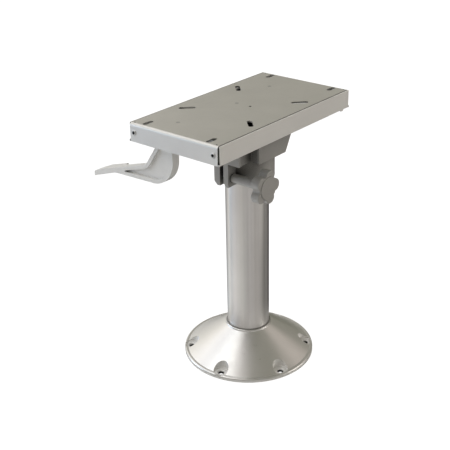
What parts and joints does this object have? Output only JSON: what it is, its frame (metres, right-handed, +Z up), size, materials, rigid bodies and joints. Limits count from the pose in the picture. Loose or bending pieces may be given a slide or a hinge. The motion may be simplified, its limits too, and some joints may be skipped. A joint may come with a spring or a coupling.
{
  "type": "boat seat pedestal",
  "caption": "Boat seat pedestal: bolt-down ribbed base, round column, clamped swivel head with star knob, and a fore-and-aft seat slide locked by a side lever.",
  "frame": {"origin": "centre of the floor bolt circle, on the floor plane under the base", "axes": "+Z up along the column, X along the seat's slide with the lock lever at the -X end, +Y towards the side that the lever's grip reaches"},
  "size_m": [0.3386, 0.3268, 0.4551],
  "materials": {
    "base_flange": "satin anodised",
    "column_tube": "satin anodised",
    "neck_seal": "matte",
    "tube_set_screws": "plain",
    "column_plug": "machined",
    "thrust_washer": "moulded nylon",
    "retaining_washer": "plain",
    "retaining_bolt": "plain",
    "swivel_head": "satin grey paint on a die casting",
    "swivel_sleeve": "moulded nylon",
    "clamp_nut": "plain",
    "slide_base": "mill",
    "base_screws": "plain",
    "lock_strip": "plain",
    "strip_rivets": "plain",
    "glide_right": "moulded nylon",
    "glide_left": "moulded nylon",
    "clamp_washer": "plain",
    "clamp_knob": "moulded",
    "clamp_stud": "plain",
    "top_pan": "satin anodised",
    "rail_right": "satin anodised",
    "rail_left": "satin anodised",
    "end_blocks": "moulded nylon",
    "end_rivets": "plain",
    "pan_rivets": "plain",
    "front_bracket": "zinc plated",
    "centre_bracket": "zinc plated",
    "rear_bracket": "zinc plated",
    "shaft_bushings": "moulded nylon",
    "lock_lever": "satin anodised casting",
    "lock_shaft": "plain",
    "lock_cam": "plain",
    "lever_pin": "plain",
    "cam_pin": "plain",
    "shaft_clip": "spring steel",
    "return_spring": "spring steel"
  },
  "bodies": {
    "pedestal": {"base_flange": "base_flange", "column_tube": "column_tube", "neck_seal": "neck_seal", "tube_set_screws": "tube_set_screws", "column_plug": "column_plug", "thrust_washer": "thrust_washer", "retaining_washer": "retaining_washer", "retaining_bolt": "retaining_bolt"},
    "head": {"swivel_head": "swivel_head", "swivel_sleeve": "swivel_sleeve", "clamp_nut": "clamp_nut", "slide_base": "slide_base", "base_screws": "base_screws", "lock_strip": "lock_strip", "strip_rivets": "strip_rivets", "glide_right": "glide_right", "glide_left": "glide_left"},
    "clamp_washer": {"clamp_washer": "clamp_washer"},
    "knob": {"clamp_knob": "clamp_knob", "clamp_stud": "clamp_stud"},
    "seat_plate": {"top_pan": "top_pan", "rail_right": "rail_right", "rail_left": "rail_left", "end_blocks": "end_blocks", "end_rivets": "end_rivets", "pan_rivets": "pan_rivets", "front_bracket": "front_bracket", "centre_bracket": "centre_bracket", "rear_bracket": "rear_bracket", "shaft_bushings": "shaft_bushings", "return_spring": "return_spring"},
    "lever": {"lock_lever": "lock_lever", "lock_shaft": "lock_shaft", "lock_cam": "lock_cam", "lever_pin": "lever_pin", "cam_pin": "cam_pin", "shaft_clip": "shaft_clip"}
  },
  "joints": [
    {"name": "head_swivel", "type": "hinge", "parent": "pedestal", "child": "head", "pos_m": [0, 0, 0.375], "axis": [0, 0, 1], "continuous": true},
    {"name": "clamp_travel", "type": "slide", "parent": "head", "child": "clamp_washer", "axis": [0, -1, 0], "range_m": [0, 0.0025]},
    {"name": "knob_turn", "type": "hinge", "parent": "clamp_washer", "child": "knob", "pos_m": [-0.052, -0.05, 0.3488], "axis": [0, -1, 0], "range_deg": [0, 720]},
    {"name": "seat_slide", "type": "slide", "parent": "head", "child": "seat_plate", "axis": [1, 0, 0], "range_m": [-0.044, 0.056]},
    {"name": "lever_lift", "type": "hinge", "parent": "seat_plate", "child": "lever", "pos_m": [-0.1425, 0.036, 0.438], "axis": [1, 0, 0], "range_deg": [0, 16], "stiffness_Nm_per_rad": 0.6, "springref_deg": -20.05}
  ],
  "couplings": [
    {"joint": "knob_turn", "follows": "clamp_travel", "rad_per_m": 5026.5}
  ]
}
